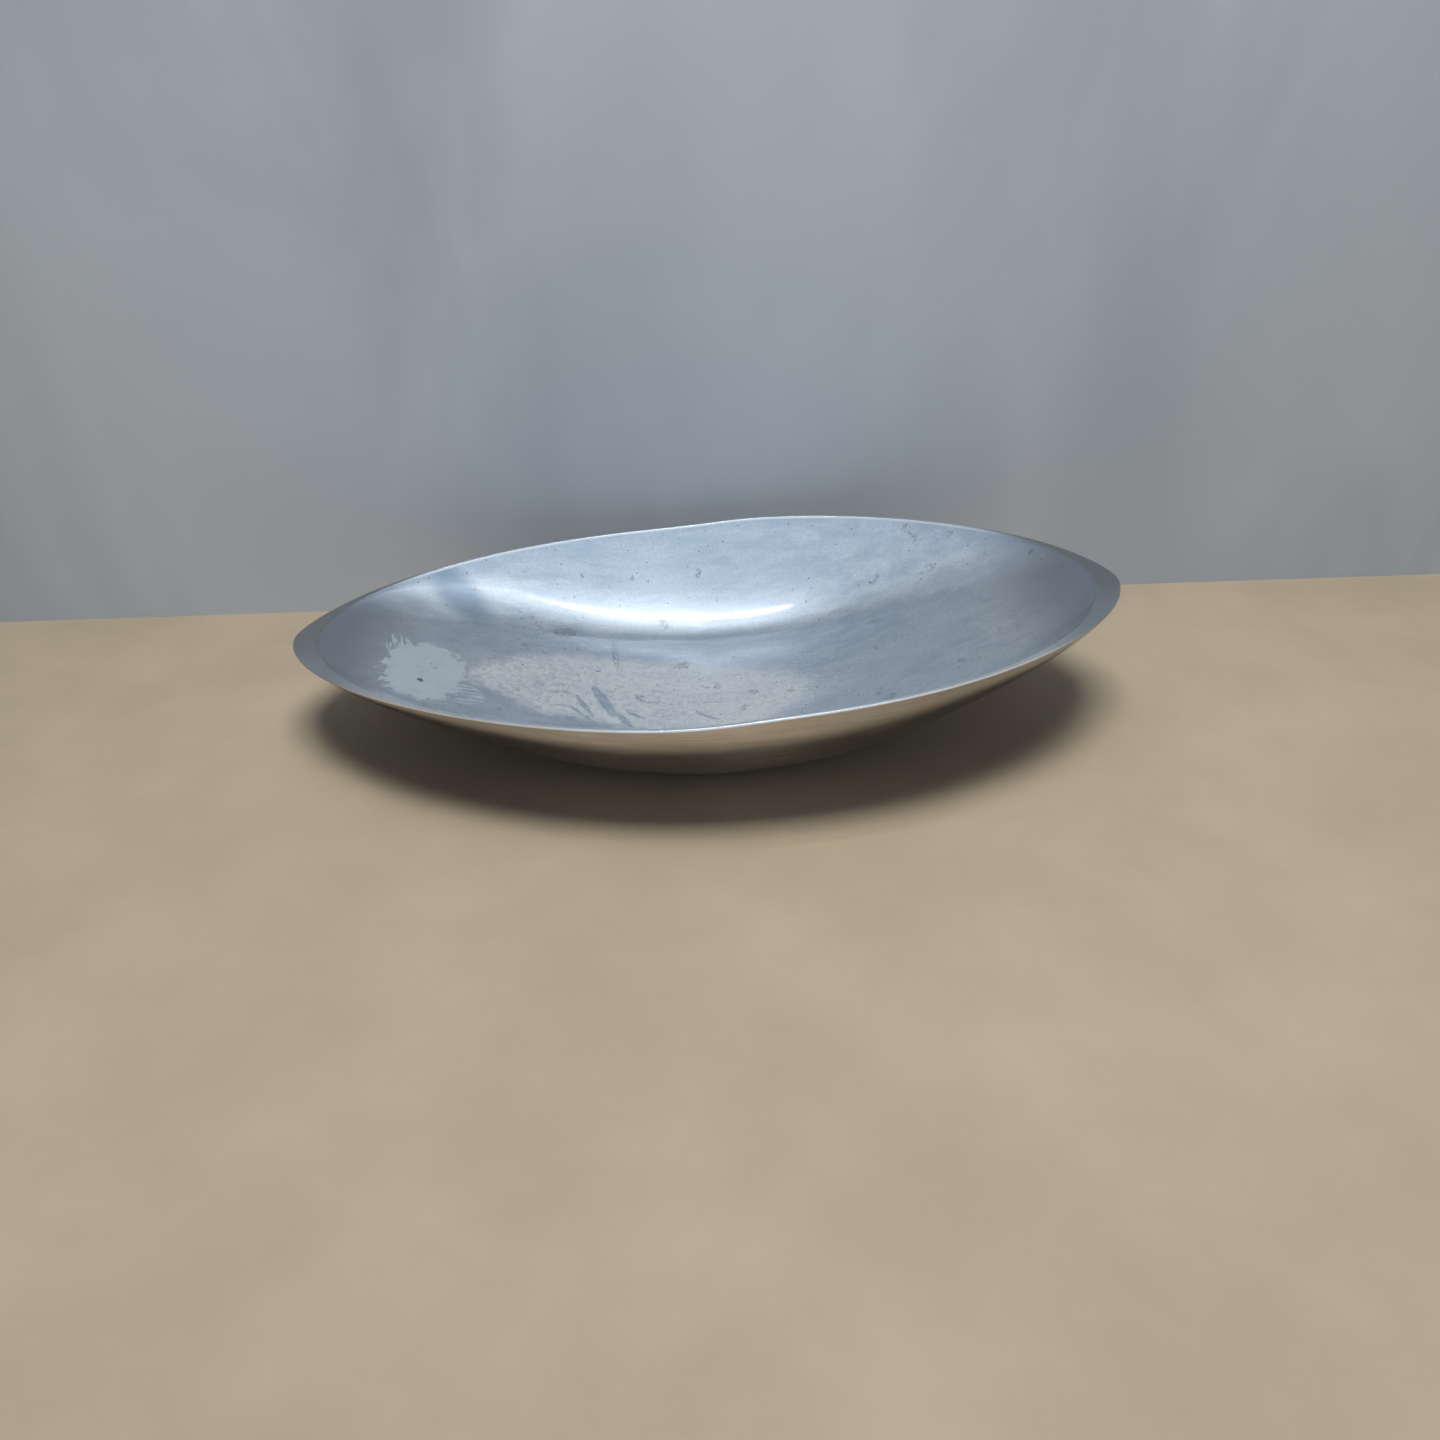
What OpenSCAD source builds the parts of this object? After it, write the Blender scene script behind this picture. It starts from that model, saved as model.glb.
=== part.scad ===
// Boat-shaped cast aluminium bowl on four small self-adhesive foot pads.
// Origin: middle of the bowl's length and width, on the surface that it stands on.
// +X runs along the long axis towards the higher tip, +Y to the back, +Z up.

/* [Bowl] */
// Length over the two tips
bowl_length = 500; // [440:5:560]
// Width across the middle of the rim
bowl_width = 284; // [250:2:320]
// Height of the middle of the rim above the flat underside
bowl_depth = 69; // [60:1:80]

/* [Walls] */
// Thickness of the floor
floor_thickness = 4.5; // [3.5:0.5:7]
// Width of the rim land along the two long sides
side_land = 3.5; // [2.5:0.5:6]
// Width of the rim land at the two tips
tip_land = 14.5; // [12:0.5:18]
// How far the two ends of the hollow sit towards the back
hollow_lean = 7; // [0:1:8]

/* [Rim line] */
// How far the right tip rises and the left tip falls from the middle of the rim
rim_tilt = 11; // [0:0.5:14]
// Swell of the rim between the middle and the tips
rim_swell = 6; // [0:0.5:8]
// Drop of the rim at the tips
rim_drop = 7; // [0:0.5:10]
// Height of the hand-made wave in both long sides
wave_height = 1.6; // [0:0.1:3]
// Where along the length the wave sits
wave_centre = 12; // [-60:1:60]
// Half length of the step in the wave
wave_reach = 27; // [15:1:45]

/* [Form] */
// Length of the middle part before the keel line slopes up to the tips
keel_length = 134; // [120:2:160]
// Share of the width that is flat across outside, before the walls rise
flat_share = 0.48; // [0.44:0.01:0.52]
// Share of the width that the floor of the hollow takes up, before its walls rise
floor_share = 0.56; // [0.54:0.01:0.58]
// Rise of the dished floor of the hollow towards its edge, as a share of the full depth
floor_dish = 0.17; // [0.15:0.01:0.2]
// How far the rounded form reaches below the flat that is ground on it
ground_off = 7; // [6.6:0.1:8]

/* [Foot pads] */
// Diameter of a pad
pad_diameter = 12; // [8:1:14]
// Thickness of a pad
pad_thickness = 2; // [1.5:0.5:4]
// Distance between the pads along the length
pad_spacing_x = 56; // [44:2:58]
// Distance between the pads across the width
pad_spacing_y = 72; // [50:2:76]

/* [Hidden] */

$fn = 64;
around = 96;             // points round each ring, a multiple of 4
rings = 18;              // rings from the middle of the floor to the rim
ring_bunching = 2;       // over 1 packs the rings towards the steep wall under the rim
outer_fullness = 0.61;   // under 1 the outline is rounder than two straight sides
inner_fullness = 0.54;   // the same for the inside, rounder still, which makes the wide lips
lean_power = 8;          // keeps the lean of the hollow to its two ends
beam_shift = 0.045;      // makes the right half a little wider than the left
side_power = 1.44;       // rise of the side walls: 1 is a straight slope, 2 an ellipse
side_softness = 0.15;    // rounds the turn into the side walls, outside
turn_softness = 0.06;    // rounds the same turn inside, which is tighter
keel_softness = 0.30;    // rounds the turn of the keel line, outside
floor_softness = 0.36;   // rounds the turn of the keel line, inside
form_wall = 5.5;         // height of the inner form over the outer one at the keel
bottom_z = pad_thickness;
edge_break = 0.5;        // small bevel round the lower edge of a pad

// One surface of the casting:
// [half length, half width, fullness, height of the rounded form, keel softness, lowest height,
//  lean towards the back, flat share, side softness, dish]
OUTSIDE = [
    bowl_length / 2,
    bowl_width / 2,
    outer_fullness,
    bottom_z - ground_off,
    keel_softness,
    bottom_z,
    0,
    flat_share,
    side_softness,
    0
];
INSIDE = [
    bowl_length / 2 - tip_land,
    bowl_width / 2 - side_land,
    inner_fullness,
    bottom_z - ground_off + form_wall,
    floor_softness,
    bottom_z + floor_thickness,
    hollow_lean,
    floor_share,
    turn_softness,
    floor_dish
];

// Hyperbolic tangent, the smooth step of the wave
function smooth_step(x) = (exp(2 * x) - 1) / (exp(2 * x) + 1);

// Height of the rim above the ground at a place along the length
function rim_z(x) =
    let (
        u = 2 * x / bowl_length,
        from_wave = x - wave_centre,
        step = smooth_step(from_wave / wave_reach),
        fade = exp(-pow(from_wave / (3 * wave_reach), 2) / 2)
    )
    bottom_z + bowl_depth + rim_tilt * u + rim_swell * pow(u, 2) - rim_drop * pow(u, 4)
        + wave_height * step * fade;

// Half width of the eye-shaped outline at a share u of the half length
function eye(u, fullness) = pow(max(0, 1 - pow(u, 2)), fullness) * (1 + beam_shift * u);

// 0 up to the flat's edge and 1 at the rim, with a soft turn between them
function past_flat(share, flat, softness) =
    let (c = (share - flat) / (1 - flat))
    min(1, (c + sqrt(pow(c, 2) + pow(softness, 2))) / (1 + sqrt(1 + pow(softness, 2))));

// Rise from 0 to 1 that ends steeply, a quarter of a superellipse
function rise(c, power) = 1 - pow(1 - pow(c, power), 1 / power);

// Height of a surface's keel line, from the floor up to each tip
function keel_z(x, surface) =
    let (
        u = x / surface[0],
        left_tip = rim_z(-surface[0]),
        right_tip = rim_z(surface[0]),
        top = left_tip + (right_tip - left_tip) * (1 + u) / 2,
        flat = keel_length / 2 / surface[0]
    )
    surface[3] + (top - surface[3]) * past_flat(abs(u), flat, surface[4]);

// Height of a surface at a place, where across is 0 on the keel line and 1 at the rim
function surface_z(x, across, surface) =
    let (
        keel = keel_z(x, surface),
        wall = rise(past_flat(across, surface[7], surface[8]), side_power),
        dished = wall + surface[9] * pow(across, 2) * (1 - wall)
    )
    max(surface[5], keel + (rim_z(x) - keel) * dished);

// One ring of a surface: its rim outline shrunk towards the middle
function ring(shrink, surface) =
    [
        for (i = [0 : around - 1])
            let (
                angle = 360 * i / around,
                u = -cos(angle),
                x = shrink * surface[0] * u,
                half_here = eye(u, surface[2]),
                across = half_here == 0 ? 0 : shrink * half_here / eye(shrink * u, surface[2]),
                keel_y = surface[6] * pow(shrink * u, lean_power),
                side_y = sign(sin(angle)) * shrink * surface[1] * half_here
            )
            [x, keel_y + side_y, surface_z(x, across, surface)]
    ];

function ring_shrink(k) = 1 - pow(1 - k / rings, ring_bunching);

// Faces between two neighbouring rings
function band(first, second) =
    [
        for (i = [0 : around - 1])
            let (n = (i + 1) % around)
            each [
                [first * around + i, second * around + i, second * around + n],
                [first * around + i, second * around + n, first * around + n]
            ]
    ];

// The casting: up the outside, over the rim land, and down the inside
module bowl() {
    loops = concat(
        [for (k = [1 : rings]) ring(ring_shrink(k), OUTSIDE)],
        [for (k = [rings : -1 : 1]) ring(ring_shrink(k), INSIDE)]
    );
    loop_points = [for (loop = loops) for (p = loop) p];
    under_middle = len(loop_points);
    floor_middle = under_middle + 1;
    points = concat(
        loop_points,
        [[0, 0, surface_z(0, 0, OUTSIDE)], [0, 0, surface_z(0, 0, INSIDE)]]
    );
    last = (len(loops) - 1) * around;
    underside = [for (i = [0 : around - 1]) [under_middle, i, (i + 1) % around]];
    floor_top = [for (i = [0 : around - 1]) [floor_middle, last + (i + 1) % around, last + i]];
    walls = [for (k = [0 : len(loops) - 2]) for (face = band(k, k + 1)) face];
    color("silver")
        polyhedron(points = points, faces = concat(underside, floor_top, walls), convexity = 6);
}

// One pad, stuck to the flat underside, with its lower edge broken
module foot_pad(side_x, side_y) {
    color("dimgray")
        translate([side_x * pad_spacing_x / 2, side_y * pad_spacing_y / 2, 0])
            union() {
                cylinder(d1 = pad_diameter - 2 * edge_break, d2 = pad_diameter, h = edge_break);
                translate([0, 0, edge_break])
                    cylinder(d = pad_diameter, h = pad_thickness - edge_break);
            }
}

module foot_pad_front_left() { foot_pad(-1, -1); }
module foot_pad_front_right() { foot_pad(1, -1); }
module foot_pad_back_left() { foot_pad(-1, 1); }
module foot_pad_back_right() { foot_pad(1, 1); }

bowl();
foot_pad_front_left();
foot_pad_front_right();
foot_pad_back_left();
foot_pad_back_right();
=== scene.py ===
import math

import bpy
import numpy as np
from mathutils import Matrix, Vector


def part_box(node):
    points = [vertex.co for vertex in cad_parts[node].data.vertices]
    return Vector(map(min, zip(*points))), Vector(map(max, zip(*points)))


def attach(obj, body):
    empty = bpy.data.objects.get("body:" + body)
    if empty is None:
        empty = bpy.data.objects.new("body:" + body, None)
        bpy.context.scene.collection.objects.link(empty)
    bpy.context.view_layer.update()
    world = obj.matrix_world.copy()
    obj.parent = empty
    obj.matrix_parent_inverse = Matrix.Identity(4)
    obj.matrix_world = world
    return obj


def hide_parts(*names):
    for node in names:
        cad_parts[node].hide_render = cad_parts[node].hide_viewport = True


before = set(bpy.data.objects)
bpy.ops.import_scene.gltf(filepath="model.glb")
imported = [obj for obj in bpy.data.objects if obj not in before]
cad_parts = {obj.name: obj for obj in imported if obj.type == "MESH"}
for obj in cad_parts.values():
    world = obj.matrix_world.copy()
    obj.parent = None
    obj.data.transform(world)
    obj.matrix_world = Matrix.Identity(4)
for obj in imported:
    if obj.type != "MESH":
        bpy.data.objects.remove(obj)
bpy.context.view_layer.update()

# A boat-shaped cast aluminium bowl on four small foot pads.
# The form follows the same formulas as the CAD. It is worked out in millimetres, and the
# meshes, the stage, the lights and the camera are in metres.

MM = 0.001              # metres in a millimetre

# ---------------------------------------------------------------- the form

PAD_THICKNESS = 2.0
BOWL_DEPTH = 69.0
HALF_LENGTH = 250.0
RIM_TILT = 11.0
RIM_SWELL = 6.0
RIM_DROP = 7.0
WAVE_HEIGHT = 1.6
WAVE_CENTRE = 12.0
WAVE_REACH = 27.0
HALF_KEEL = 67.0
SIDE_POWER = 1.44
BEAM_SHIFT = 0.045
LEAN_POWER = 8

# The two surfaces of the casting. Their length and width are halves. floor and softness are the
# height of the keel line and the softness of its turn, lowest is the height of the flat, and lean
# moves the ends towards the back. Across the width, flat is the share before the walls rise, turn
# the softness of that turn, and crown the dish of the floor.
OUTSIDE = dict(
    length=HALF_LENGTH, width=142.0, fullness=0.61, floor=-5.0, softness=0.30, lowest=PAD_THICKNESS,
    lean=0.0, flat=0.48, turn=0.15, crown=0.0,
)
INSIDE = dict(
    length=235.5, width=138.5, fullness=0.54, floor=0.5, softness=0.36, lowest=6.5,
    lean=7.0, flat=0.56, turn=0.06, crown=0.17,
)

AROUND = 384            # points round each ring, a multiple of 4
OUTSIDE_RINGS = 60
INSIDE_RINGS = 88
RING_BUNCHING = 1.8     # over 1 packs the rings towards the steep wall under the rim
LAND_RINGS = 3
EDGE_STEPS = 7          # rings round each edge of the rim
EDGE_RADIUS = 1.5
EDGE_REACH = 0.25       # its square is how far in the end of an edge is looked for
EDGE_TRIES = 160        # places tried on the way there
EDGE_LIMIT = 0.45       # most that a rounded edge takes of a narrow land
TURN_SOFTNESS = 0.8     # softens the crease where a flat meets the form
DENT_HEIGHT = 0.16      # unevenness left by hand polishing
DENT_WAVES = 26
DENT_LENGTHS = (34, 120)        # shortest and longest wave of the unevenness
DENT_TILT = 0.3         # how far the heading of a wave may leave the level
DENT_POWER = 1.3        # over 1 makes the short waves flatter than the long ones
DENT_SEED = 7
OUTSIDE_CALM = 10       # rings next to the rim where the unevenness fades out, outside
INSIDE_CALM = 14        # the same for the inside
OUTSIDE_SLOT, RIM_SLOT, INSIDE_SLOT = range(3)      # material slots of the casting


def rim_z(x):
    """Height of the rim at a place along the length."""
    u = x / HALF_LENGTH
    away = x - WAVE_CENTRE
    wave = np.tanh(away / WAVE_REACH) * np.exp(-((away / (3 * WAVE_REACH)) ** 2) / 2)
    middle = PAD_THICKNESS + BOWL_DEPTH
    return middle + RIM_TILT * u + RIM_SWELL * u**2 - RIM_DROP * u**4 + WAVE_HEIGHT * wave


def eye(u, fullness):
    """Half width of the eye-shaped outline at a share u of the half length."""
    return np.maximum(0, 1 - u**2) ** fullness * (1 + BEAM_SHIFT * u)


def past_flat(share, flat, softness):
    """0 up to the flat's edge and 1 at the rim, with a soft turn between them."""
    c = (share - flat) / (1 - flat)
    risen = (c + np.sqrt(c**2 + softness**2)) / (1 + math.sqrt(1 + softness**2))
    return np.minimum(1, risen)


def rise(c, power):
    """Rise from 0 to 1 that ends steeply."""
    return 1 - (1 - np.clip(c, 0, 1) ** power) ** (1 / power)


def soft_max(a, b):
    """The greater of two heights, with a rounded turn where they meet."""
    return (a + b + np.sqrt((a - b) ** 2 + TURN_SOFTNESS**2)) / 2


def surface_z(x, across, surface):
    """Height of a surface, where across is 0 on the keel line and 1 at the rim."""
    u = x / surface["length"]
    left_tip = rim_z(-surface["length"])
    right_tip = rim_z(surface["length"])
    top = left_tip + (right_tip - left_tip) * (1 + u) / 2
    sloped = past_flat(np.abs(u), HALF_KEEL / surface["length"], surface["softness"])
    keel = surface["floor"] + (top - surface["floor"]) * sloped
    wall = rise(past_flat(across, surface["flat"], surface["turn"]), SIDE_POWER)
    dished = wall + surface["crown"] * across**2 * (1 - wall)
    return soft_max(keel + (rim_z(x) - keel) * dished, surface["lowest"])


def ring(shrink, surface):
    """One ring of a surface: its rim outline shrunk towards the middle, as AROUND points."""
    angle = 2 * math.pi * np.arange(AROUND) / AROUND
    u = -np.cos(angle)
    half_here = eye(u, surface["fullness"])
    x = shrink * surface["length"] * u
    keel_y = surface["lean"] * (shrink * u) ** LEAN_POWER
    y = keel_y + np.sign(np.sin(angle)) * shrink * surface["width"] * half_here
    shrunk = eye(shrink * u, surface["fullness"])
    across = np.divide(shrink * half_here, shrunk, out=np.ones_like(x), where=shrunk > 1e-9)
    z = np.where(across >= 1, rim_z(x), surface_z(x, np.minimum(1, across), surface))
    return np.stack([x, y, z], axis=-1)


def rim_ring(surface):
    """The sharp rim line of a surface."""
    points = ring(1.0, surface)
    points[:, 2] = rim_z(points[:, 0])
    return points


def edge_shrink(surface):
    """The shrink, at each point round, that is an edge radius down the surface from its rim."""
    tries = 1 - np.linspace(0, EDGE_REACH, EDGE_TRIES) ** 2
    lines = np.stack([rim_ring(surface)] + [ring(t, surface) for t in tries[1:]])
    steps = np.linalg.norm(np.diff(lines, axis=0), axis=-1)
    run = np.vstack([np.zeros(AROUND), np.cumsum(steps, axis=0)])
    return np.array([np.interp(EDGE_RADIUS, run[:, i], tries) for i in range(AROUND)])


def step_towards(start, end, distance):
    """Points that lie a distance from start on the way to end."""
    way = end - start
    length = np.linalg.norm(way, axis=-1, keepdims=True)
    return start + way * np.minimum(EDGE_LIMIT, distance / length)


def rounded_edge(start, corner, end):
    """Rings that turn from start to end round a corner."""
    turn = np.linspace(0, 1, EDGE_STEPS)
    return [(1 - t) ** 2 * start + 2 * t * (1 - t) * corner + t**2 * end for t in turn]


def surface_rings(surface, count):
    """Rings from the middle of a surface out to just under its rim."""
    edge = edge_shrink(surface)
    shares = 1 - (1 - np.arange(1, count + 1) / count) ** RING_BUNCHING
    return [ring(edge * share, surface) for share in shares]


def dents(points):
    """A smooth unevenness of the casting, from a fixed set of long waves."""
    rng = np.random.default_rng(DENT_SEED)
    total = np.zeros(points.shape[:-1])
    for _ in range(DENT_WAVES):
        length = rng.uniform(*DENT_LENGTHS)
        heading = rng.uniform(0, math.pi)
        way = np.array([math.cos(heading), math.sin(heading), rng.uniform(-DENT_TILT, DENT_TILT)])
        phase = rng.uniform(0, 2 * math.pi)
        height = (length / DENT_LENGTHS[1]) ** DENT_POWER
        total += height * np.sin(points @ way * 2 * math.pi / length + phase)
    return total / math.sqrt(DENT_WAVES)


def dented(rings, side, calm):
    """Rings moved along their normals by the dents, which fade out over the last calm rings."""
    points = np.stack(rings)
    along = np.roll(points, -1, axis=1) - np.roll(points, 1, axis=1)
    outwards = np.gradient(points, axis=0)
    normal = np.cross(outwards, along)
    normal /= np.linalg.norm(normal, axis=-1, keepdims=True)
    fade = np.clip((len(rings) - 1 - np.arange(len(rings))) / calm, 0, 1)[:, None]
    return list(points + normal * (side * DENT_HEIGHT * dents(points) * fade)[..., None])


def bowl_rings():
    """The rings of the outside, of the rim and of the inside, in the order they are joined."""
    outer = dented(surface_rings(OUTSIDE, OUTSIDE_RINGS), 1, OUTSIDE_CALM)
    inner = dented(surface_rings(INSIDE, INSIDE_RINGS), -1, INSIDE_CALM)
    outer_rim = rim_ring(OUTSIDE)
    inner_rim = rim_ring(INSIDE)
    land_outer = step_towards(outer_rim, inner_rim, EDGE_RADIUS)
    land_inner = step_towards(inner_rim, outer_rim, EDGE_RADIUS)
    shares = np.linspace(0, 1, LAND_RINGS + 2)[1:-1]
    land = [land_outer + (land_inner - land_outer) * share for share in shares]
    rim = rounded_edge(outer[-1], outer_rim, land_outer)[1:]
    rim += land
    rim += rounded_edge(land_inner, inner_rim, inner[-1])[:-1]
    return outer, rim, inner[::-1]


def closed_faces(loops, around):
    """Faces that join loops of points in turn, with a middle point each for the first and the last."""
    pairs = [(i, (i + 1) % around) for i in range(around)]
    last = (loops - 1) * around
    faces = [
        (low + a, low + b, low + around + b, low + around + a)
        for low in range(0, last, around)
        for a, b in pairs
    ]
    first_middle, last_middle = loops * around, loops * around + 1
    faces += [(first_middle, b, a) for a, b in pairs]
    faces += [(last_middle, last + a, last + b) for a, b in pairs]
    return faces


def build_bowl():
    """The casting as one closed mesh, with a material slot each for outside, rim and inside."""
    outer, rim, inner = bowl_rings()
    loops = outer + rim + inner
    middles = [(0, 0, loop[:, 2].mean()) for loop in (outer[0], inner[-1])]
    points = np.vstack(loops + middles) * MM
    piece = mesh_piece("cast_bowl", points, closed_faces(len(loops), AROUND))
    slots = [OUTSIDE_SLOT] * len(outer) + [RIM_SLOT] * len(rim) + [INSIDE_SLOT] * (len(inner) - 1)
    slots += [OUTSIDE_SLOT, INSIDE_SLOT]
    piece.data.polygons.foreach_set("material_index", np.repeat(slots, AROUND).tolist())
    return piece


def mesh_piece(name, points, faces):
    """A smooth-shaded mesh object from points in metres and faces."""
    mesh = bpy.data.meshes.new(name)
    mesh.from_pydata([tuple(p) for p in points], [], faces)
    mesh.validate()
    mesh.update()
    mesh.shade_smooth()
    piece = bpy.data.objects.new(name, mesh)
    bpy.context.scene.collection.objects.link(piece)
    return piece


# ---------------------------------------------------------------- foot pads

PAD_AROUND = 72         # points round a pad
PAD_RADIUS = 6.0
PAD_ROUND = 0.75        # radius of a pad's lower edge
PAD_ROUND_STEPS = 9     # points on that edge
PAD_BULGE = 0.12        # how far the soft side stands out under load
PAD_SIDE = 0.95         # height of that side
PAD_SIDE_STEPS = 5      # points on it
# Radius and height of points on the slightly hollow sole, and on the film of glue over the side
PAD_SOLE = ((0.0, 0.12), (1.6, 0.08), (3.2, 0.02), (4.85, 0.0))
PAD_GLUE = ((5.9, 1.72), (5.7, 1.76), (5.65, 2.03), (0.0, 2.03))


def pad_profile():
    """Half outline of a pad from the middle of its sole up to the casting, in millimetres."""
    edge = [
        (PAD_RADIUS - PAD_ROUND * (1 - math.sin(t)), PAD_ROUND * (1 - math.cos(t)))
        for t in np.linspace(0, math.pi / 2, PAD_ROUND_STEPS)
    ]
    side = [
        (PAD_RADIUS + PAD_BULGE * math.sin(math.pi * t), PAD_ROUND + PAD_SIDE * t)
        for t in np.linspace(0, 1, PAD_SIDE_STEPS + 1)[1:]
    ]
    return [*PAD_SOLE, *edge, *side, *PAD_GLUE]


def build_pad(name, node):
    """A round soft pad in the place of a CAD node, turned from its profile."""
    low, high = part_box(node)
    centre = (Vector(low) + Vector(high)) / 2
    first, *inner, last = pad_profile()
    angles = [2 * math.pi * i / PAD_AROUND for i in range(PAD_AROUND)]
    points = [
        (centre.x + r * MM * math.cos(a), centre.y + r * MM * math.sin(a), z * MM)
        for r, z in inner
        for a in angles
    ]
    points += [(centre.x, centre.y, z * MM) for _, z in (first, last)]
    return mesh_piece(name, points, closed_faces(len(inner), PAD_AROUND))


# ---------------------------------------------------------------- materials

ENDLESS = 1e6           # a size so great that its direction does not count


class Graph:
    """A node tree, with short ways to add nodes and join them."""

    def __init__(self, tree):
        self.tree = tree

    def node(self, kind, inputs, **settings):
        """Adds a node with some of its inputs and settings given."""
        made = self.tree.nodes.new(kind)
        for key, value in settings.items():
            setattr(made, key, value)
        for key, value in inputs.items():
            self.put(made.inputs[key], value)
        return made

    def put(self, socket, value):
        """Joins a socket to another, or sets its constant."""
        if isinstance(value, bpy.types.NodeSocket):
            self.tree.links.new(value, socket)
        else:
            socket.default_value = value

    def maths(self, operation, a, b=0.0):
        """The outcome of an operation on two values."""
        return self.node("ShaderNodeMath", {0: a, 1: b}, operation=operation).outputs[0]

    def times(self, a, b):
        return self.maths("MULTIPLY", a, b)

    def plus(self, a, b):
        return self.maths("ADD", a, b)

    def minus(self, a, b):
        return self.maths("SUBTRACT", a, b)

    def span(self, value, low, high, to_low=0.0, to_high=1.0):
        """Value eased from the low..high span to another, and held at its ends. Low may be the higher."""
        inputs = {"Value": value, "From Min": low, "From Max": high, "To Min": to_low, "To Max": to_high}
        return self.node("ShaderNodeMapRange", inputs, interpolation_type="SMOOTHSTEP").outputs[0]

    def mix(self, share, a, b):
        """Colour a where the share is 0 and colour b where it is 1."""
        inputs = {"Factor": share, 6: a, 7: b}
        return self.node("ShaderNodeMix", inputs, data_type="RGBA").outputs[2]


class Shade(Graph):
    """A procedural material, placed by the coordinates of the object itself."""

    def __init__(self, name):
        self.material = bpy.data.materials.new(name)
        self.material.use_nodes = True
        super().__init__(self.material.node_tree)
        self.shader = self.tree.nodes["Principled BSDF"]
        self.place = self.node("ShaderNodeTexCoord", {}).outputs["Object"]

    def finish(self, **inputs):
        """Joins the shader's inputs, named in lower case, and gives the material."""
        for key, value in inputs.items():
            self.put(self.shader.inputs[key.replace("_", " ").title()], value)
        return self.material

    def polished(self, weight, roughness, ior):
        """A smoother gloss over the satin, as on metal that was polished after brushing."""
        self.put(self.shader.inputs["Coat Weight"], weight)
        self.put(self.shader.inputs["Coat Roughness"], roughness)
        self.put(self.shader.inputs["Coat IOR"], ior)
        return self.material

    def measured(self, size, turn=0.0, place=(0.0, 0.0)):
        """Coordinates from a place, along axes turned about Z, in units of a size in millimetres."""
        inputs = {
            "Vector": self.place, "Location": (place[0] * MM, place[1] * MM, 0),
            "Rotation": (0, 0, turn), "Scale": [side * MM for side in size],
        }
        return self.node("ShaderNodeMapping", inputs, vector_type="TEXTURE").outputs[0]

    def noise(self, vector, scale, detail, roughness, distortion=0.0):
        """Soft clouds around 0.5, whose size is 1/scale of the vector's unit."""
        inputs = {
            "Vector": vector, "Scale": scale, "Detail": detail,
            "Roughness": roughness, "Distortion": distortion,
        }
        return self.node("ShaderNodeTexNoise", inputs).outputs[0]

    def cells(self, scale):
        """Distance, in cells, to the nearest of scattered points, one in each cell of 1/scale metres."""
        inputs = {"Vector": self.place, "Scale": scale}
        return self.node("ShaderNodeTexVoronoi", inputs).outputs["Distance"]

    def patch(self, place, half_size, turn=0.0):
        """1 in the middle of an oval place on the surface, 0 at its edge, in millimetres."""
        vector = self.measured((*half_size, ENDLESS), turn, place)
        length = self.node("ShaderNodeVectorMath", {0: vector}, operation="LENGTH")
        return self.minus(1.0, length.outputs["Value"])

    def ends_share(self):
        """How far a place is along the length, 0 in the middle and 1 at either end of the hollow."""
        along = self.node("ShaderNodeSeparateXYZ", {"Vector": self.place}).outputs["X"]
        return self.maths("DIVIDE", self.maths("ABSOLUTE", along), INSIDE["length"] * MM)

    def bump(self, height, depth, strength=1.0):
        """Normals of a relief, whose height of 1 is a depth in metres."""
        inputs = {"Height": height, "Distance": depth, "Strength": strength}
        return self.node("ShaderNodeBump", inputs).outputs[0]


def blotch(s, place, half_size, turn, edge, ragged, grain):
    """A dried mark: 1 inside a ragged oval on the surface, 0 outside it."""
    rough_edge = s.times(s.minus(s.noise(s.place, grain, 5.0, 0.65), 0.5), ragged)
    return s.span(s.plus(s.patch(place, half_size, turn), rough_edge), 0.0, edge)


def either(s, first, *others):
    """The strongest of several masks."""
    for mask in others:
        first = s.maths("MAXIMUM", first, mask)
    return first


def without(s, mask, taken):
    """A mask with another one cut out of it."""
    return s.times(mask, s.minus(1.0, taken))


def layered(s, colour, *layers):
    """A colour with others laid over it, each with the mask of where it shows."""
    for mask, over in layers:
        colour = s.mix(mask, colour, over)
    return colour


def stroke(s, start, end, half_width):
    """A ragged wipe on the surface from one place to another."""
    run = (end[0] - start[0], end[1] - start[1])
    middle = ((start[0] + end[0]) / 2, (start[1] + end[1]) / 2)
    half_size = (math.hypot(*run) / 2 + half_width, half_width)
    return blotch(s, middle, half_size, math.atan2(run[1], run[0]), 0.15, 1.0, 150.0)


def combed(s, place, half_size, turn):
    """Fine parallel drips that fill an oval place."""
    drips = s.noise(s.measured((13.0, 1.7, 13.0), turn, place), 1.0, 3.0, 0.6)
    return s.times(s.span(drips, 0.50, 0.53), s.span(s.patch(place, half_size, turn), 0.0, 0.2))


def residue_mask(s):
    """The white dried puddle towards the left tip, with drips at its ends."""
    puddle = blotch(s, (-171, -16), (25, 35), 0.0, 0.12, 1.1, 170.0)
    right = combed(s, (-145, -33), (12, 13), 0.15)
    left = combed(s, (-189, 6), (18, 9), 1.9)
    thin = s.span(s.noise(s.place, 95.0, 5.0, 0.7), 0.36, 0.54, 0.78, 1.0)
    return s.times(either(s, puddle, right, left), thin)


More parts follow.
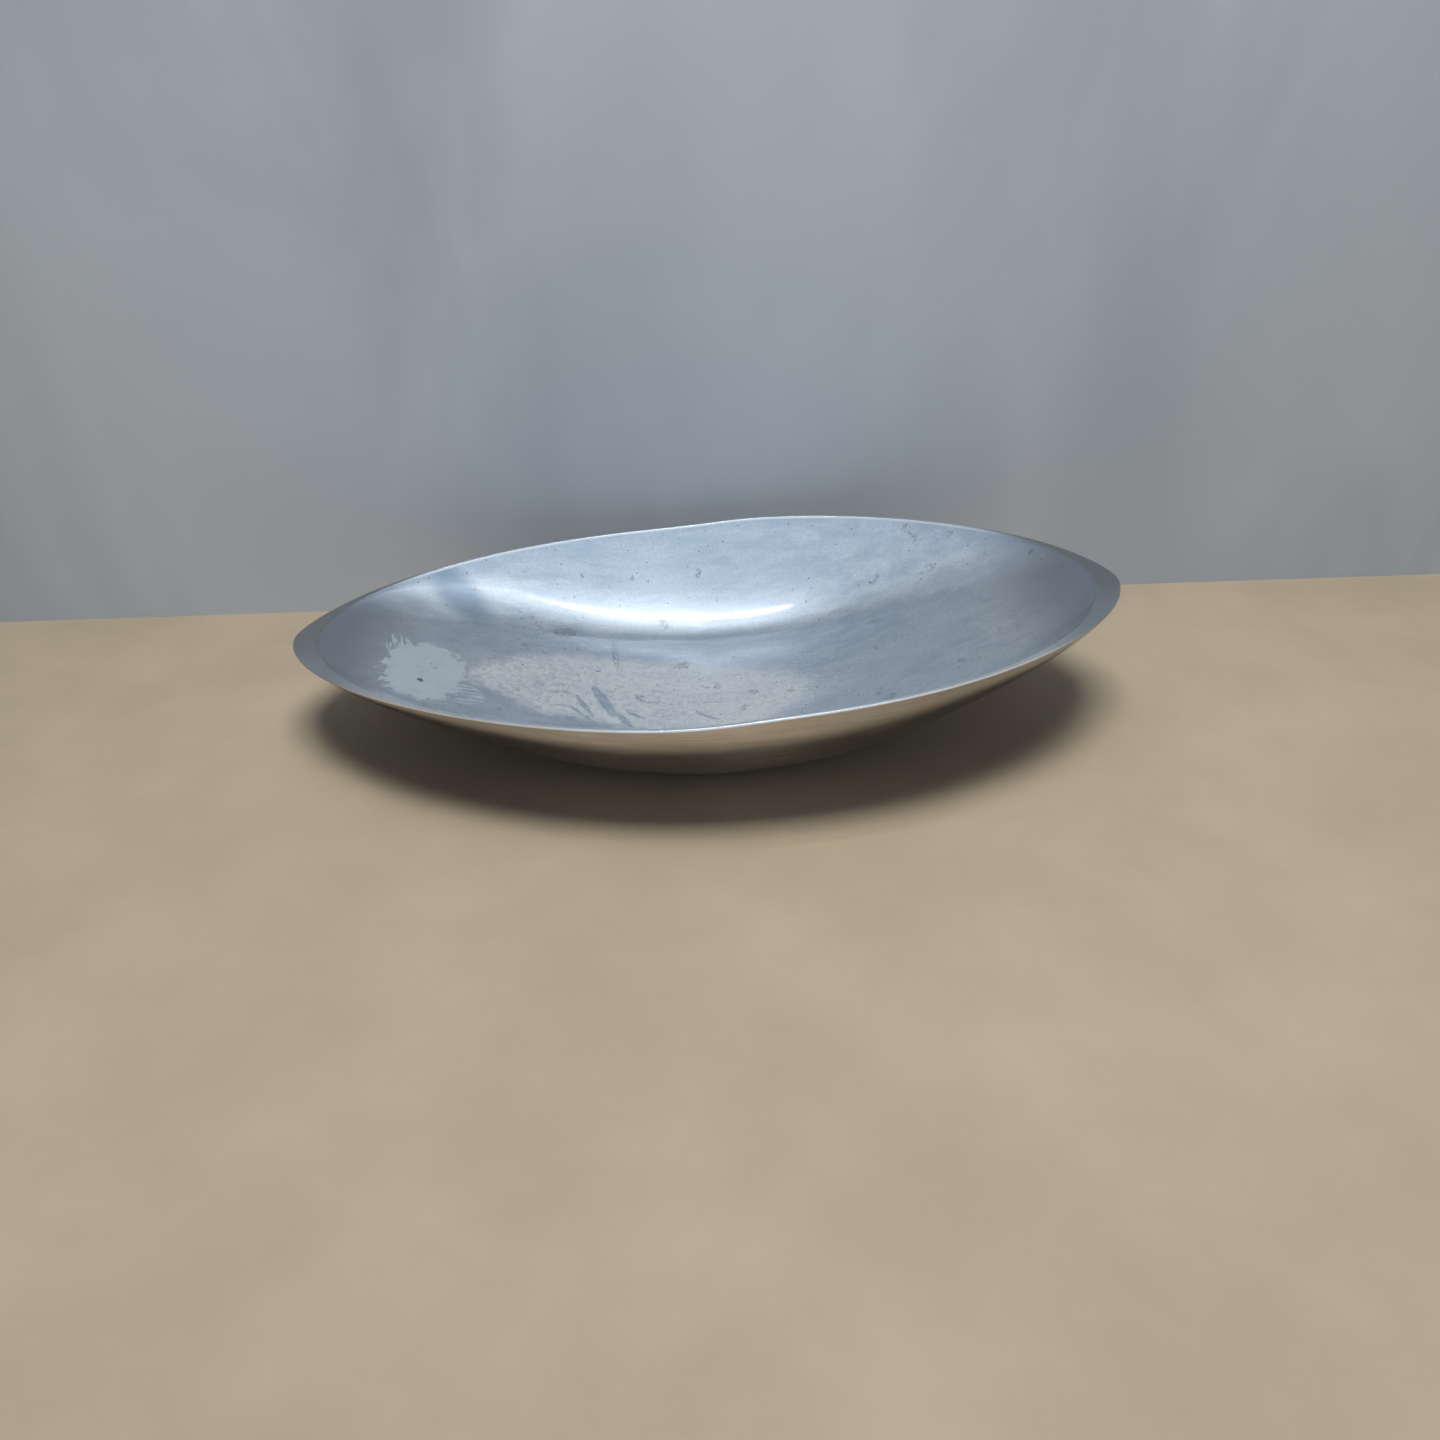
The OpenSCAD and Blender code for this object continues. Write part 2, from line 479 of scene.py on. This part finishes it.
def film_mask(s):
    """The chalky film on the floor, wiped through in a few strokes."""
    wiped = either(
        s,
        stroke(s, (-82, -7), (-71, -29), 2.0),
        stroke(s, (-72, 7), (-58, -26), 4.0),
        stroke(s, (-56, -23), (-48, -37), 2.6),
        stroke(s, (-84, -22), (-78, -28), 1.4),
        stroke(s, (-75, -32), (-68, -38), 1.6),
        stroke(s, (-50, -19), (-42, -26), 1.6),
        stroke(s, (-8, -19), (7, -28), 1.3),
        stroke(s, (-5, -5), (15, -7), 0.9),
        stroke(s, (-43, -6), (-31, -6), 0.9),
    )
    chalk = blotch(s, (-38, 2), (124, 52), 0.0, 0.30, 0.55, 40.0)
    speckle = s.span(s.noise(s.place, 300.0, 6.0, 0.75), 0.38, 0.58, 0.40, 1.0)
    return without(s, s.times(chalk, speckle), s.times(wiped, 0.95))


def pit_mask(s):
    """Small pits all over, hair cracks, more of them in two places, and the residue's dark core."""
    scatter = s.noise(s.place, 30.0, 2.0, 0.5)
    dots = s.times(s.span(s.cells(160.0), 0.10, 0.05), s.span(scatter, 0.45, 0.50))
    specks = s.times(s.span(s.cells(240.0), 0.11, 0.06), s.span(scatter, 0.46, 0.40))
    scratch = s.noise(s.place, 430.0, 3.0, 0.6, 1.2)
    line = s.span(s.maths("ABSOLUTE", s.minus(scratch, 0.5)), 0.024, 0.010)
    few = s.times(line, s.span(s.noise(s.place, 62.0, 2.0, 0.5), 0.67, 0.71))
    chain = s.times(line, s.span(s.patch((-61, 51), (2.6, 21), 0.12), 0.0, 0.2))
    corner = s.times(line, s.span(s.patch((-96, 70), (9, 5), 0.3), 0.0, 0.2))
    core = blotch(s, (-171, -27), (2.6, 1.6), -0.6, 0.3, 2.4, 600.0)
    return either(s, dots, s.times(specks, 0.5), few, chain, corner, core)


def fleck_mask(s):
    """Bright flecks of dried residue, in two places on the floor."""
    where = either(s, s.patch((74, 14), (30, 44)), s.patch((-96, 3), (9, 15), -0.5))
    return s.times(s.span(s.cells(330.0), 0.20, 0.10), s.span(where, 0.0, 0.5))


def inside_colour(s, cloud, smear, film, residue, pits, flecks):
    """Grey-blue metal, darker at its ends, with a painted reflection near the left tip, under the marks
    of use.
    """
    grain = s.span(s.noise(s.place, 650.0, 4.0, 0.7), 0.40, 0.62, 0.0, 0.35)
    ends = s.span(s.ends_share(), 0.73, 0.97)
    # painted reflection: a darker blue patch on the back wall by the left tip, where the dim room would
    # show in the metal
    blue_reflection_patch = s.span(s.patch((-164, 76), (34, 19), -0.6), 0.0, 0.7)
    return layered(
        s,
        s.mix(s.span(cloud, 0.35, 0.7), (0.53, 0.61, 0.70, 1), (0.66, 0.72, 0.79, 1)),
        (s.span(smear, 0.36, 0.66), (0.75, 0.80, 0.85, 1)),
        (grain, (0.44, 0.51, 0.59, 1)),
        (ends, (0.28, 0.33, 0.39, 1)),
        (s.times(blue_reflection_patch, 0.75), (0.22, 0.31, 0.42, 1)),
        (s.times(film, 0.7), (0.72, 0.74, 0.74, 1)),
        (s.times(residue, 0.85), (0.46, 0.53, 0.59, 1)),
        (s.times(pits, 0.95), (0.05, 0.05, 0.05, 1)),
        (flecks, (0.86, 0.90, 0.93, 1)),
    )


def inside_roughness(s, cloud, smear, brush, film, residue):
    """Satin, duller under the film and the residue and in one worn place by the back rim."""
    worn = s.span(s.patch((84, 100), (17, 9), 0.2), 0.0, 0.8)
    rough = s.plus(s.span(cloud, 0.3, 0.7, 0.27, 0.35), s.span(brush, 0.3, 0.7, 0.0, 0.05))
    rough = s.plus(rough, s.span(smear, 0.40, 0.62, 0.0, 0.06))
    rough = s.plus(rough, s.times(either(s, film, worn), 0.10))
    return s.plus(rough, s.times(residue, 0.25))


def inside_height(s, brush, film, residue, pits):
    """Relief of the brush lines and the marks, with a sparkling and a ribbed place on the floor."""
    sparkle = s.times(s.cells(420.0), s.span(s.patch((74, 16), (34, 46)), 0.0, 0.6))
    ribs = s.noise(s.measured((1.3, 16.0, 16.0)), 1.0, 1.0, 0.5)
    ribbed = s.times(ribs, s.span(s.patch((38, -16), (30, 13)), 0.0, 0.5))
    height = s.plus(s.times(brush, 0.03), s.times(residue, 0.4))
    height = s.plus(height, s.times(film, 0.10))
    height = s.minus(height, pits)
    height = s.plus(height, s.times(sparkle, 1.10))
    return s.plus(height, s.times(ribbed, 0.25))


def inside_material():
    """Satin cast aluminium with brush lines, pits, a dried film and a white residue."""
    s = Shade("satin_aluminium")
    cloud = s.noise(s.place, 16.0, 5.0, 0.6)
    smear = s.noise(s.measured((48.0, 10.0, 10.0), 0.10), 1.0, 7.0, 0.72, 0.25)
    brush = s.noise(s.measured((80.0, 1.1, 1.1)), 1.0, 3.0, 0.6)
    film, residue, pits, flecks = film_mask(s), residue_mask(s), pit_mask(s), fleck_mask(s)
    dull = either(s, s.times(film, 0.50), s.times(residue, 0.50), pits, flecks, 0.06)
    s.finish(
        base_color=inside_colour(s, cloud, smear, film, residue, pits, flecks),
        metallic=s.minus(1.0, dull),
        roughness=inside_roughness(s, cloud, smear, brush, film, residue),
        normal=s.bump(inside_height(s, brush, film, residue, pits), 0.00025),
    )
    gloss = s.span(either(s, film, residue), 0.0, 1.0, 0.95, 0.45)
    return s.polished(gloss, 0.095, 2.0)


def outside_material():
    """The polished outside with faint polishing lines round it, and painted reflection at its ends."""
    s = Shade("polished_aluminium")
    cloud = s.noise(s.place, 22.0, 5.0, 0.6)
    brush = s.noise(s.measured((110.0, 6.0, 2.0)), 1.0, 4.0, 0.6)
    colour = s.mix(s.span(cloud, 0.35, 0.7), (0.60, 0.58, 0.56, 1), (0.74, 0.72, 0.69, 1))
    colour = s.mix(s.span(brush, 0.40, 0.65, 0.0, 0.5), colour, (0.44, 0.42, 0.40, 1))
    # painted reflection: the outside is darkened towards its ends, as the shaded floor round the bowl
    # would show in it
    colour = s.mix(s.span(s.ends_share(), 0.15, 0.60, 0.0, 0.9), colour, (0.35, 0.34, 0.33, 1))
    rough = s.plus(s.span(cloud, 0.3, 0.7, 0.13, 0.22), s.span(brush, 0.3, 0.7, 0.0, 0.05))
    normal = s.bump(brush, 0.00002, 0.4)
    return s.finish(base_color=colour, metallic=1.0, roughness=rough, normal=normal)


def rim_material():
    """The flat-ground rim, with fine grinding lines, darker lips and a painted reflection on their backs.
    """
    s = Shade("ground_rim")
    cloud = s.noise(s.place, 30.0, 4.0, 0.6)
    grind = s.noise(s.measured((25.0, 1.1, 1.1), 0.3), 1.0, 3.0, 0.6)
    colour = s.mix(s.span(cloud, 0.35, 0.7), (0.82, 0.85, 0.89, 1), (0.90, 0.92, 0.94, 1))
    colour = s.mix(s.span(s.ends_share(), 0.72, 0.92), colour, (0.47, 0.51, 0.57, 1))
    # painted reflection: the back side of each lip is darkened, as the lower, darker backdrop would show
    # in it
    back = s.node("ShaderNodeSeparateXYZ", {"Vector": s.place}).outputs["Y"]
    back_lip_reflection = s.times(s.span(s.ends_share(), 0.80, 0.95), s.span(back, -0.050, 0.0))
    colour = s.mix(back_lip_reflection, colour, (0.34, 0.37, 0.39, 1))
    rough = s.plus(s.span(cloud, 0.3, 0.7, 0.24, 0.32), s.span(grind, 0.3, 0.7, 0.0, 0.07))
    normal = s.bump(grind, 0.00003, 0.5)
    s.finish(base_color=colour, metallic=1.0, roughness=rough, normal=normal)
    return s.polished(s.span(s.ends_share(), 0.70, 0.92, 1.0, 0.35), 0.15, 2.4)


def pad_material():
    """Dull dark rubber with a fine moulded grain and dust on it."""
    s = Shade("pad_rubber")
    dust = s.noise(s.place, 380.0, 5.0, 0.65)
    grain = s.noise(s.place, 2600.0, 3.0, 0.6)
    colour = s.mix(s.span(dust, 0.5, 0.75), (0.030, 0.029, 0.028, 1), (0.085, 0.080, 0.074, 1))
    rough = s.span(dust, 0.3, 0.7, 0.55, 0.75)
    normal = s.bump(grain, 0.00006, 0.6)
    return s.finish(base_color=colour, roughness=rough, normal=normal)


def clear_from_behind(s):
    """Makes a sheet of the stage clear from its back, so that no view is blocked."""
    facing = s.node("ShaderNodeNewGeometry", {}).outputs["Backfacing"]
    clear = s.node("ShaderNodeBsdfTransparent", {}).outputs[0]
    both = s.node("ShaderNodeMixShader", {0: facing, 1: s.shader.outputs[0], 2: clear})
    s.tree.links.new(both.outputs[0], s.tree.nodes["Material Output"].inputs["Surface"])
    return s.material


def floor_material():
    """Plain tan paper with a faint mottle."""
    s = Shade("tan_paper")
    mottle = s.noise(s.place, 9.0, 6.0, 0.6)
    colour = s.mix(s.span(mottle, 0.3, 0.75), (0.44, 0.365, 0.270, 1), (0.50, 0.415, 0.310, 1))
    s.finish(base_color=colour, roughness=0.75)
    return clear_from_behind(s)


def backdrop_material():
    """Plain grey-blue cloth."""
    s = Shade("grey_cloth")
    folds = s.noise(s.measured((200.0, 200.0, 570.0)), 1.0, 3.0, 0.5, 0.6)
    colour = s.mix(s.span(folds, 0.3, 0.7), (0.53, 0.60, 0.69, 1), (0.65, 0.72, 0.81, 1))
    s.finish(base_color=colour, roughness=0.9, normal=s.bump(folds, 0.02, 0.4))
    return clear_from_behind(s)


# ---------------------------------------------------------------- camera, stage and light

CAMERA_PLACE = (-0.0055, -0.5973, 0.3487)
CAMERA_LENS = 27.05     # millimetres, on a sensor of the width below
CAMERA_SENSOR = 36.0
CAMERA_DOWN = math.radians(31.0)
CAMERA_YAW = 0.0214
CAMERA_ROLL = -math.atan(0.0245)
STAGE_REACH = 4.0       # half width of the floor and the backdrop
BACKDROP_Y = 0.165
BACKDROP_TOP = 2.4
COOL_WHITE = (0.95, 0.98, 1.0)
WARM_WHITE = (1.0, 0.97, 0.92)
DOME_TOP = (0.35, -0.85, 0.40)              # where the surroundings shine brightest
DOME_EDGE = 0.2         # how nearly a way points there before it gets brighter, 1 is exactly
DOME_LOW_COLOUR = (0.38, 0.45, 0.53, 1)
DOME_TOP_COLOUR = (0.64, 0.75, 0.86, 1)
DOME_ON_MATT = 0.12     # strength of the dome's light on matt surfaces, with 1 in the metal


def make_camera():
    """The photograph's viewing angle."""
    down, yaw, roll = CAMERA_DOWN, CAMERA_YAW, CAMERA_ROLL
    forward = Vector((math.sin(yaw) * math.cos(down), math.cos(yaw) * math.cos(down), -math.sin(down)))
    level = Vector((math.cos(yaw), -math.sin(yaw), 0))
    upright = level.cross(forward)
    right = level * math.cos(roll) + upright * math.sin(roll)
    up = upright * math.cos(roll) - level * math.sin(roll)
    data = bpy.data.cameras.new("camera")
    data.lens = CAMERA_LENS
    data.sensor_width = CAMERA_SENSOR
    camera = bpy.data.objects.new("camera", data)
    turned = Matrix((right, up, -forward)).transposed().to_4x4()
    camera.matrix_world = Matrix.Translation(CAMERA_PLACE) @ turned
    bpy.context.scene.collection.objects.link(camera)
    bpy.context.scene.camera = camera


def stage_sheet(name, corners, material):
    """A flat sheet of the stage."""
    sheet = mesh_piece(name, corners, [(0, 1, 2, 3)])
    sheet.data.materials.append(material)


def make_stage():
    """The paper on the floor and the cloth behind it."""
    side, y, top = STAGE_REACH, BACKDROP_Y, BACKDROP_TOP
    floor = [(-side, -side, 0), (side, -side, 0), (side, side, 0), (-side, side, 0)]
    stage_sheet("floor", floor, floor_material())
    backdrop = [(-side, y, 0), (side, y, 0), (side, y, top), (-side, y, top)]
    stage_sheet("backdrop", backdrop, backdrop_material())


def area_light(name, place, target, size, strength, colour, turn=0.0, glossy=True):
    """A soft rectangular light, turned about Z, whose face shines with the given strength."""
    data = bpy.data.lights.new(name, "AREA")
    data.shape = "RECTANGLE"
    data.size, data.size_y = size
    data.energy = strength * math.pi * size[0] * size[1]
    data.color = colour
    light = bpy.data.objects.new(name, data)
    light.location = place
    way = Vector(target) - Vector(place)
    aimed = way.to_track_quat("-Z", "Y").to_matrix()
    light.rotation_euler = (Matrix.Rotation(turn, 3, "Z") @ aimed).to_euler()
    light.visible_glossy = glossy
    bpy.context.scene.collection.objects.link(light)


def make_lights():
    """A thin bright tube that the bowl mirrors, and a soft overhead light that it does not."""
    area_light(
        "tube", place=(0.0775, 0.0, 1.70), target=(0.0775, 0.0, 0.0), size=(0.845, 0.065),
        strength=19.0, colour=COOL_WHITE, turn=0.15,
    )
    area_light(
        "overhead", place=(0.08, -0.35, 1.75), target=(0.08, -0.2, 0.0), size=(0.80, 0.5),
        strength=17.8, colour=WARM_WHITE, glossy=False,
    )


def make_world():
    """A soft dome, brightest overhead, and dimmer for matt surfaces than in the metal."""
    world = bpy.data.worlds.new("surroundings")
    world.use_nodes = True
    g = Graph(world.node_tree)
    way = g.node("ShaderNodeTexCoord", {}).outputs["Generated"]
    towards = g.node("ShaderNodeVectorMath", {0: way, 1: DOME_TOP}, operation="DOT_PRODUCT")
    colour = g.mix(g.span(towards.outputs["Value"], DOME_EDGE, 1.0), DOME_LOW_COLOUR, DOME_TOP_COLOUR)
    matt = g.node("ShaderNodeLightPath", {}).outputs["Is Diffuse Ray"]
    strength = g.node("ShaderNodeMix", {"Factor": matt, "A": 1.0, "B": DOME_ON_MATT})
    background = g.tree.nodes["Background"]
    g.put(background.inputs["Color"], colour)
    g.put(background.inputs["Strength"], strength.outputs["Result"])
    bpy.context.scene.world = world


def show_true_colours():
    """Shows colours as they come out, with no film-like curve over them."""
    bpy.context.scene.view_settings.view_transform = "Standard"


# ---------------------------------------------------------------- the scene

PADS = ("front_left", "front_right", "back_left", "back_right")


def add_piece(piece, node, slot, *materials):
    """Puts a finished piece in the place of a CAD node."""
    for material in materials:
        piece.data.materials.append(material)
    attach(piece, "root")
    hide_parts(node)


make_camera()
add_piece(build_bowl(), "bowl", "aluminium", outside_material(), rim_material(), inside_material())
rubber = pad_material()
for pad in PADS:
    add_piece(build_pad("soft_pad_" + pad, "foot_pad_" + pad), "foot_pad_" + pad, "pad_rubber", rubber)
make_stage()
make_lights()
make_world()
show_true_colours()
